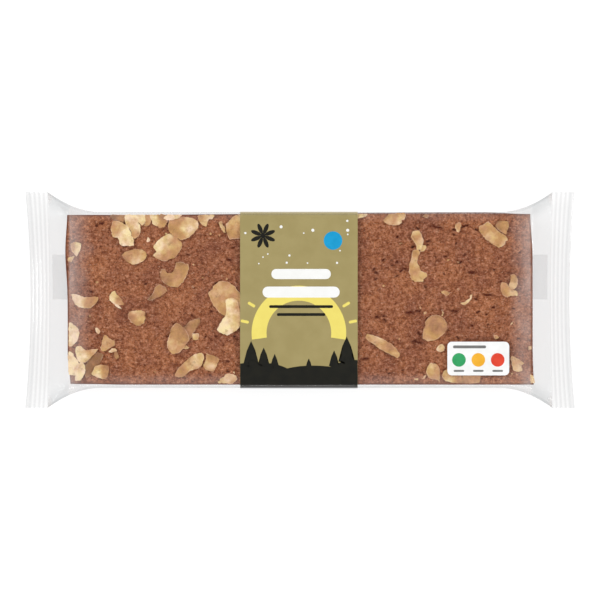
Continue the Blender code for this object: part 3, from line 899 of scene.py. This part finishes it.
def haze_and_sheen_at(end, inward, y, upper):
    """How milky the film looks: a little haze on its seals, a painted highlight in folds and a painted
    sheen where it stands off the crumb.
    """
    if inward <= SEAL_DEPTH:
        return SEAL_MILK
    corner = pack_high.y - 0.0008 - abs(y)
    inside = inward - SEAL_DEPTH
    # Painted highlight in the crease where each ear meets the seal.
    fold_highlight = smooth_step(inside, 0.0032, 0.0004) * smooth_step(corner, 0.0072 - 1.5 * inside, 0.0015)
    fold_highlight *= FOLD_HIGHLIGHT
    if not upper:
        return fold_highlight
    # Painted sheen over the bar's ends, its long edges and its front edge, where the film stands off the
    # crumb.
    wander = 0.0030 * noise.noise(Vector((y / 0.009, 4.0 * end, 0.0)))
    wander += 0.0012 * noise.noise(Vector((y / 0.0025, 4.0 * end, inward / 0.004)))
    ends = smooth_step(inward, 0.0320 + wander, 0.0200 + wander)
    edges = smooth_step(abs(y) + 0.3 * wander, 0.0352, 0.0374)
    front = smooth_step(-y + 0.3 * wander, 0.0325, 0.0362)
    cloud = 0.80 + 0.5 * noise.noise(Vector((inward / 0.006, y / 0.008, 1.0)))
    over_bar = smooth_step(inward, 0.0197, 0.0207)
    return max(fold_highlight, max(END_SHEEN * ends, EDGE_SHEEN * edges, FRONT_SHEEN * front) * cloud * over_bar)


def grey_and_shade_at(inward, y):
    """How much light the film takes: most on its side walls and flared edges. On the seals the grooves
    get painted shade and the ridges painted light, and painted shade grows towards the outer edge."""
    if inward <= SEAL_DEPTH:
        outer_rib = smooth_step(inward, 0.0034, 0.0018)
        border = smooth_step(inward, SEAL_DEPTH - 0.0007, SEAL_DEPTH - 0.0002)
        # Painted shade in the grooves and painted light on the ridges; the share that falls with inward is
        # painted shade towards the seal's outer edge.
        rib_shade = RIB_SHADE * rib_at(inward) * (1 - 0.5 * outer_rib)
        return SEAL_GREY - rib_shade + BORDER_GREY * (outer_rib + border - inward / SEAL_DEPTH)
    _, side, _, _ = film_section(inward)
    flared = smooth_step(side - abs(y), 0.0090, 0.0008) * smooth_step(inward, 0.032, 0.020)
    clear_end = smooth_step(inward, 0.0205, 0.0180)
    wall = smooth_step(side - abs(y), 0.0017, 0.0003)
    return TUBE_GREY + CLEAR_END_GREY * clear_end + FLARED_GREY * flared + WALL_GREY * wall


def film_stations():
    """Each station's end of the pack and its distance in from that end, from left to right."""
    seal = [SEAL_DEPTH * i / SEAL_STATIONS for i in range(SEAL_STATIONS)]
    closing = [SEAL_DEPTH + (FLARE_START - SEAL_DEPTH) * (i / CLOSING_STATIONS) ** 1.25
               for i in range(CLOSING_STATIONS)]
    straight = pack_high.x - FLARE_START
    tube = [FLARE_START + straight * 2 * i / TUBE_STATIONS for i in range(TUBE_STATIONS // 2)]
    half = seal + closing + tube
    return [(-1, inward) for inward in half] + [(1, inward) for inward in reversed(half)]


def make_film():
    bm = bmesh.new()
    number = bm.verts.layers.int.new("number")
    haze_and_sheen, grey = bm.verts.layers.float.new("haze_and_sheen"), bm.verts.layers.float.new("grey")
    count = 2 * (PANEL_STEPS + SIDE_STEPS)
    upper_last = PANEL_STEPS + SIDE_STEPS // 2
    ring = bmesh.ops.create_circle(bm, cap_ends=False, segments=count, radius=0.01)["verts"]
    for i, vert in enumerate(ring):
        vert[number] = i
    edges = list(bm.edges)
    for step, (end, inward) in enumerate(film_stations()):
        if step:
            grown = bmesh.ops.extrude_edge_only(bm, edges=edges)["geom"]
            edges = [item for item in grown if isinstance(item, bmesh.types.BMEdge)]
            ring = [item for item in grown if isinstance(item, bmesh.types.BMVert)]
        points = ring_points(inward)
        for vert in ring:
            y, z = points[vert[number]]
            upper = vert[number] <= upper_last or vert[number] > count - SIDE_STEPS // 2
            bow, curl = seal_shift(inward, y)
            z += curl + film_lift(end, inward, y, upper)
            vert.co = (end * (pack_high.x - inward - bow), y, max(z, LOWEST_FOLD))
            vert[haze_and_sheen], vert[grey] = haze_and_sheen_at(end, inward, y, upper), grey_and_shade_at(inward, y)
    bmesh.ops.remove_doubles(bm, verts=bm.verts, dist=0.000001)
    bmesh.ops.recalc_face_normals(bm, faces=bm.faces)
    if sum(face.normal.z for face in bm.faces if face.verts[0].co.z > 0.9 * FILM_TOP) < 0:
        bmesh.ops.reverse_faces(bm, faces=bm.faces)
    return finish_piece("clear_film", bm, clear_film(), 70)


def slant_gloss(material):
    """How much a thin film mirrors, the same from both its sides: little head on, all at a slant."""
    facing = add_node(material, "ShaderNodeLayerWeight", {"Blend": 0.5}).outputs["Facing"]
    steep = add_node(material, "ShaderNodeMath", {0: facing, 1: 5.0}, operation="POWER").outputs[0]
    return add_node(material, "ShaderNodeMath", {
        0: steep, 1: 1 - FACE_ON_GLOSS, 2: FACE_ON_GLOSS,
    }, operation="MULTIPLY_ADD").outputs[0]


def clear_film():
    """Clear oriented polypropylene: it greys what lies under it, with painted shade in the grooves of
    its seals, shows a painted highlight where it is creased and a painted sheen where it stands off
    the crumb, and mirrors the light at a slant."""
    material, output = new_material("clear_polypropylene_film")
    haze_and_sheen = add_node(material, "ShaderNodeAttribute", {}, attribute_name="haze_and_sheen")
    grey = add_node(material, "ShaderNodeAttribute", {}, attribute_name="grey")
    passed = add_node(material, "ShaderNodeMix", {
        0: grey.outputs["Fac"], 6: (0.995, 0.995, 0.995, 1.0), 7: (0.711, 0.721, 0.725, 1.0),
    }, data_type="RGBA")
    clear = add_node(material, "ShaderNodeBsdfTransparent", {"Color": passed.outputs[2]})
    gloss = add_node(material, "ShaderNodeBsdfGlossy", {
        "Color": (0.85, 0.85, 0.85, 1.0), "Roughness": 0.18,
    })
    wrap = add_node(material, "ShaderNodeMixShader", {
        0: slant_gloss(material), 1: clear.outputs[0], 2: gloss.outputs[0],
    })
    # A pale diffuse layer mixed in by the attribute: painted sheen and highlight, and the seals' own haze.
    hazy_sheen = add_node(material, "ShaderNodeBsdfPrincipled", {
        "Base Color": linear("#eee6e3"), "Roughness": 0.35, "Specular IOR Level": 0.5,
    })
    mixed = add_node(material, "ShaderNodeMixShader", {
        0: haze_and_sheen.outputs["Fac"], 1: wrap.outputs[0], 2: hazy_sheen.outputs[0],
    })
    material.node_tree.links.new(mixed.outputs[0], output.inputs[0])
    return material


film = make_film()
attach(film, "root")
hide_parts("sealed_bag")


# Back seam: the long edges of the film, sealed together and folded flat under the pack. It
# shows through the clear ends as a greyer strip. A strip of grid follows the film's underside.
SEAM_FRONT = 0.0003
SEAM_BACK = 0.0207
SEAM_THICKNESS = 0.00007


def make_seam():
    bm = bmesh.new()
    bmesh.ops.create_grid(bm, x_segments=150, y_segments=6, size=0.5)
    for vert in bm.verts:
        x = vert.co.x * 2 * (pack_high.x - SEAL_DEPTH - INNER_BOW - 0.0002)
        y = SEAM_FRONT + (vert.co.y + 0.5) * (SEAM_BACK - SEAM_FRONT)
        inward = pack_high.x - abs(x)
        bow, _ = seal_shift(inward, y)
        bottom = film_section(inward)[3] + film_lift(math.copysign(1, x), inward, y, False)
        vert.co = (x - math.copysign(bow, x), y, max(bottom, LOWEST_FOLD) - 0.00003)
    bmesh.ops.recalc_face_normals(bm, faces=bm.faces)
    bmesh.ops.solidify(bm, geom=bm.faces, thickness=SEAM_THICKNESS)
    return finish_piece("back_seam", bm, seam_film(), 70)


def seam_film():
    """Three layers of the same film on one another, so greyer than one."""
    material, output = new_material("layered_polypropylene_film")
    clear = add_node(material, "ShaderNodeBsdfTransparent", {"Color": (0.953, 0.954, 0.955, 1.0)})
    gloss = add_node(material, "ShaderNodeBsdfGlossy", {"Color": (1.0, 1.0, 1.0, 1.0), "Roughness": 0.15})
    mixed = add_node(material, "ShaderNodeMixShader", {
        0: slant_gloss(material), 1: clear.outputs[0], 2: gloss.outputs[0],
    })
    material.node_tree.links.new(mixed.outputs[0], output.inputs[0])
    return material


seam = make_seam()
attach(seam, "root")
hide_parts("sealed_bag")


# Printed band: the middle of the film, printed in khaki all round. It is modelled as a sleeve of
# its own, a twentieth of a millimetre thick, just outside the clear film. band_arcs tells how far
# round from the middle of the top each of its rows lies.
BAND_LIFT = 0.00010
BAND_THICKNESS = 0.00005
BAND_STATIONS = 12
BAND_ROUNDS = 2 * (PANEL_STEPS + SIDE_STEPS)
END_MARGIN = 1e-7

band_low, band_high = (Vector(corner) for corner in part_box("printed_band"))
half_outline = [(y, z) for y, z in ring_points(pack_high.x)[PANEL_STEPS // 2:] if y >= 0]
half_girth = sum(math.dist(a, b) for a, b in zip(half_outline, half_outline[1:])) - END_MARGIN
band_arcs = [half_girth * (2 * i / BAND_ROUNDS - 1) for i in range(BAND_ROUNDS + 1)]


def on_sleeve(x, arc, lift):
    """A point lifted off the film, so far round from the middle of the top: back is positive."""
    travelled = abs(arc)
    for (y, z), (next_y, next_z) in zip(half_outline, half_outline[1:]):
        length = math.hypot(next_y - y, next_z - z)
        if travelled <= length:
            break
        travelled -= length
    dy, dz = (next_y - y) / length, (next_z - z) / length
    side = math.copysign(1, arc)
    return Vector((x, side * (y + dy * travelled - dz * lift), z + dz * travelled + dy * lift))


def make_band():
    bm = bmesh.new()
    bmesh.ops.create_grid(bm, x_segments=BAND_STATIONS, y_segments=BAND_ROUNDS, size=0.5)
    for vert in bm.verts:
        x = band_low.x + (band_high.x - band_low.x) * (vert.co.x + 0.5)
        vert.co = on_sleeve(x, band_arcs[round((vert.co.y + 0.5) * BAND_ROUNDS)], BAND_LIFT)
    bmesh.ops.remove_doubles(bm, verts=bm.verts, dist=0.000002)
    bmesh.ops.recalc_face_normals(bm, faces=bm.faces)
    bmesh.ops.solidify(bm, geom=bm.faces, thickness=BAND_THICKNESS)
    return finish_piece("printed_band", bm, khaki_print(), 70)


def khaki_print():
    """Film printed solid khaki: satin, with the faint mottle of a flood of ink."""
    material, output = new_material("khaki_printed_film")
    place = add_node(material, "ShaderNodeTexCoord", {}).outputs["Object"]
    mottle = add_node(material, "ShaderNodeTexNoise", {
        "Vector": place, "Scale": 1 / 0.008, "Detail": 3.0, "Roughness": 0.5,
    })
    khaki = add_node(material, "ShaderNodeValToRGB", {"Fac": mottle.outputs["Fac"]}, stops=(
        (0.35, "#988a5a"), (0.65, "#9e9060"),
    ))
    shader = add_node(material, "ShaderNodeBsdfPrincipled", {
        "Base Color": khaki.outputs["Color"], "Roughness": 0.38, "Specular IOR Level": 0.35,
    })
    material.node_tree.links.new(shader.outputs[0], output.inputs[0])
    return material


band = make_band()
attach(band, "root")
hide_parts("printed_band")


# Print on the band: a winter morning in flat inks. A pale yellow sun comes up behind dark hills
# with fir trees, two white bars with finer dark ones stand for wording, and round them lie a spice
# star, snow and a blue disc. Each ink is drawn flat, cut where the sleeve bends and wrapped on it.
INK_THICKNESS = 0.000012
INK_STEP = 0.000004
SUN_CENTRE = (-0.0005, -0.0150)
SUN_RADIUS = 0.0215
RAY_TURNS = (12, 31, 149, 168)
STAR_CENTRE = (-0.0168, 0.0292)
DISC_CENTRE = (0.0150, 0.0270)
HILL_STEPS = 24
FRONT_BEND = -0.0360
PRINT_FOOT = -0.0600
BEND_CUTS = [arc for arc in band_arcs if PRINT_FOOT < arc < FRONT_BEND]

inks = {}


def thicken(shape, thickness):
    """Turn a flat shape's faces up and make it a thin solid."""
    bmesh.ops.recalc_face_normals(shape, faces=shape.faces)
    if shape.faces[:][0].normal.z < 0:
        bmesh.ops.reverse_faces(shape, faces=shape.faces)
    bmesh.ops.solidify(shape, geom=shape.faces, thickness=thickness)


def lay_ink(ink, shape, place=(0.0, 0.0), turn=0.0, level=1):
    """Wrap a flat shape on the sleeve at its place and turn, as a thin film of its ink."""
    shape.transform(Matrix.Translation((*place, 0.0)) @ Matrix.Rotation(math.radians(turn), 4, "Z"))
    for side, limit in ((1, band_high.x - 0.00004), (-1, band_low.x + 0.00004)):
        bmesh.ops.bisect_plane(
            shape, geom=[*shape.verts, *shape.edges, *shape.faces], dist=1e-7,
            plane_co=(limit, 0.0, 0.0), plane_no=(side, 0.0, 0.0), clear_outer=True)
    for cut in BEND_CUTS:
        bmesh.ops.bisect_plane(
            shape, geom=[*shape.verts, *shape.edges, *shape.faces], dist=1e-7,
            plane_co=(0.0, cut, 0.0), plane_no=(0.0, 1.0, 0.0))
    thicken(shape, INK_THICKNESS)
    for vert in shape.verts:
        lift = BAND_LIFT + INK_STEP * level + INK_THICKNESS + vert.co.z
        vert.co = on_sleeve(vert.co.x, vert.co.y, lift)
    carrier = bpy.data.meshes.new("one_shape")
    shape.to_mesh(carrier)
    shape.free()
    inks.setdefault(ink, bmesh.new()).from_mesh(carrier)
    bpy.data.meshes.remove(carrier)


def disc(radius, sides=40, stretch=1.0):
    """A flat disc, or an ellipse when it is stretched along x."""
    shape = bmesh.new()
    bmesh.ops.create_circle(shape, cap_ends=True, segments=sides, radius=radius)
    shape.transform(Matrix.Diagonal((stretch, 1.0, 1.0, 1.0)))
    return shape


def rounded_bar(length, height):
    """A flat bar with round ends."""
    shape = bmesh.new()
    bmesh.ops.create_grid(shape, x_segments=1, y_segments=1, size=0.5)
    shape.transform(Matrix.Diagonal((length, height, 1.0, 1.0)))
    bmesh.ops.bevel(
        shape, geom=shape.verts[:], offset=0.49 * height, offset_type="OFFSET", affect="VERTICES",
        segments=6, profile=0.5, material=-1)
    return shape


def arch(inner, outer, start, sweep, steps=48):
    """A flat band swept round a centre, from a start angle, as a rising sun's rim is."""
    shape = bmesh.new()
    way = Vector((math.cos(math.radians(start)), math.sin(math.radians(start)), 0.0))
    ends = [shape.verts.new(way * radius) for radius in (inner, outer)]
    edge = shape.edges.new(ends)
    bmesh.ops.spin(
        shape, geom=[edge, *ends], cent=(0.0, 0.0, 0.0), axis=(0.0, 0.0, 1.0), angle=math.radians(sweep),
        steps=steps, use_duplicate=False)
    return shape


def hill(width, height, drop):
    """A flat hill: a round hump on a field that runs down over the front edge."""
    shape = bmesh.new()
    foot = [shape.verts.new((side * width / 2, -drop, 0.0)) for side in (-1, 1)]
    angles = [math.pi * i / HILL_STEPS for i in range(HILL_STEPS + 1)]
    crown = [shape.verts.new((width / 2 * math.cos(a), height * math.sin(a), 0.0)) for a in angles]
    shape.faces.new([*foot, *crown])
    return shape


def fir(height):
    """A flat fir tree: three tiers of branches over a short trunk."""
    shape = bmesh.new()
    right = [
        (0.07, 0.0), (0.07, 0.12), (0.30, 0.10), (0.12, 0.40), (0.23, 0.38), (0.09, 0.66), (0.16, 0.64),
        (0.0, 1.0),
    ]
    points = right + [(-x, y) for x, y in reversed(right[:-1])]
    shape.faces.new([shape.verts.new((x * height, y * height, 0.0)) for x, y in points])
    bmesh.ops.triangulate(shape, faces=shape.faces[:])
    return shape


def beside(centre, reach, angle):
    """The place that lies so far from a centre, at an angle in degrees."""
    turn = math.radians(angle)
    return centre[0] + reach * math.cos(turn), centre[1] + reach * math.sin(turn)


lay_ink("yellow_ink", arch(SUN_RADIUS - 0.0068, SUN_RADIUS, -8, 196), SUN_CENTRE)
for angle in RAY_TURNS:
    ray_place = beside(SUN_CENTRE, SUN_RADIUS + 0.0036, angle)
    lay_ink("yellow_ink", rounded_bar(0.0038, 0.0013), ray_place, angle)

for number, (x, y, width, height) in enumerate((
        (-0.0200, -0.0345, 0.034, 0.0062), (0.0060, -0.0350, 0.036, 0.0052),
        (0.0245, -0.0352, 0.024, 0.0080))):
    lay_ink("black_ink", hill(width, height, y - PRINT_FOOT), (x, y), 0, 2 + number)
for number, (x, y, height) in enumerate((
        (-0.0222, -0.0295, 0.0118), (-0.0165, -0.0292, 0.0085), (-0.0115, -0.0300, 0.0064),
        (0.0212, -0.0282, 0.0125), (0.0155, -0.0298, 0.0078), (0.0040, -0.0306, 0.0050))):
    lay_ink("black_ink", fir(height), (x, y - 0.0009), 0, 5 + number % 2)

for arm in range(8):
    angle = 22.5 + 45 * arm
    lay_ink("black_ink", disc(0.00095, 16, 2.6), beside(STAR_CENTRE, 0.0034, angle), angle, 1 + arm % 2)
lay_ink("black_ink", disc(0.0012, 20), STAR_CENTRE, 0, 4)

for x, y, length, height in (
        (0.0005, 0.0118, 0.0270, 0.0046), (0.0005, 0.0036, 0.0350, 0.0050)):
    lay_ink("white_ink", rounded_bar(length, height), (x, y), 0, 3)
for x, y, length in ((0.0005, -0.0030, 0.0290), (0.0005, -0.0066, 0.0220)):
    lay_ink("black_ink", rounded_bar(length, 0.0013), (x, y), 0, 3)

chance = random.Random(5)
for _ in range(26):
    x, y = chance.uniform(-0.025, 0.0245), chance.uniform(0.0165, 0.0370)
    if math.dist((x, y), STAR_CENTRE) > 0.0075 and math.dist((x, y), DISC_CENTRE) > 0.0055:
        lay_ink("white_ink", disc(chance.choice((0.00035, 0.0005, 0.0007)), 14), (x, y), 0, 3)
lay_ink("blue_ink", disc(0.0042, 48), DISC_CENTRE, 0, 1)

INK_COLOURS = {
    "yellow_ink": ("#e2d169", "#e5d56d"),
    "black_ink": ("#11110b", "#18170f"),
    "white_ink": ("#e9e9e6", "#ececea"),
    "blue_ink": ("#0c8fc0", "#1498cb"),
}


def flat_ink(name, low, high):
    """Printing ink on film: even and satin, with a faint unevenness from the press."""
    material, output = new_material(name)
    place = add_node(material, "ShaderNodeTexCoord", {}).outputs["Object"]
    mottle = add_node(material, "ShaderNodeTexNoise", {
        "Vector": place, "Scale": 1 / 0.004, "Detail": 2.0, "Roughness": 0.5,
    })
    colour = add_node(material, "ShaderNodeValToRGB", {"Fac": mottle.outputs["Fac"]}, stops=(
        (0.35, low), (0.65, high),
    ))
    shader = add_node(material, "ShaderNodeBsdfPrincipled", {
        "Base Color": colour.outputs["Color"], "Roughness": 0.36, "Specular IOR Level": 0.35,
    })
    material.node_tree.links.new(shader.outputs[0], output.inputs[0])
    return material


for ink_name, ink_mesh in inks.items():
    ink_piece = finish_piece("band_" + ink_name, ink_mesh, flat_ink(ink_name, *INK_COLOURS[ink_name]))
    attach(ink_piece, "root")
    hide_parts("printed_band")


# Label: a small white panel with rounded corners, printed on the film near the front right corner.
# It carries a grey heading bar and three traffic-light dots, each over a short grey bar.
LABEL_CENTRE = (0.0810, -0.0266)
LABEL_LENGTH = 0.0281
LABEL_WIDTH = 0.0153
LABEL_CORNER = 0.0020
LABEL_LEVEL = 0.01848
LABEL_THICKNESS = 0.00004


def make_panel(name, shapes, thickness, level, material):
    """Join flat shapes, each with its place on the label, into one thin piece at one level."""
    joined = bmesh.new()
    carrier = bpy.data.meshes.new("one_shape")
    for shape, (x, y) in shapes:
        thicken(shape, thickness)
        shape.transform(Matrix.Translation((LABEL_CENTRE[0] + x, LABEL_CENTRE[1] + y, level + thickness)))
        shape.to_mesh(carrier)
        shape.free()
        joined.from_mesh(carrier)
        carrier.clear_geometry()
    bpy.data.meshes.remove(carrier)
    piece = finish_piece(name, joined, material)
    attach(piece, "root")
    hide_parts("sealed_bag")


label_shape = bmesh.new()
bmesh.ops.create_grid(label_shape, x_segments=1, y_segments=1, size=0.5)
label_shape.transform(Matrix.Diagonal((LABEL_LENGTH, LABEL_WIDTH, 1.0, 1.0)))
bmesh.ops.bevel(
    label_shape, geom=label_shape.verts[:], offset=LABEL_CORNER, offset_type="OFFSET", affect="VERTICES",
    segments=6, profile=0.5, material=-1)
make_panel("label_panel", [(label_shape, (0.0, 0.0))], LABEL_THICKNESS, LABEL_LEVEL,
           flat_ink("white_label_ink", "#e6e6e5", "#ededed"))
make_panel("label_grey_bars", [
    (rounded_bar(0.0150, 0.0013), (-0.0040, 0.0053)),
    (rounded_bar(0.0048, 0.0009), (-0.0088, -0.0056)),
    (rounded_bar(0.0048, 0.0009), (0.0, -0.0056)),
    (rounded_bar(0.0048, 0.0009), (0.0088, -0.0056)),
], INK_THICKNESS, LABEL_LEVEL + LABEL_THICKNESS, flat_ink("grey_label_ink", "#6e6e6c", "#787876"))
for dot_name, low, high, offset in (
        ("green", "#2f9458", "#369c60", -0.0088),
        ("amber", "#e3a52c", "#eaae36", 0.0),
        ("red", "#d23f2b", "#da4833", 0.0088)):
    make_panel("label_" + dot_name + "_dot", [(disc(0.0031, 40), (offset, -0.0006))], INK_THICKNESS,
               LABEL_LEVEL + LABEL_THICKNESS, flat_ink(dot_name + "_label_ink", low, high))
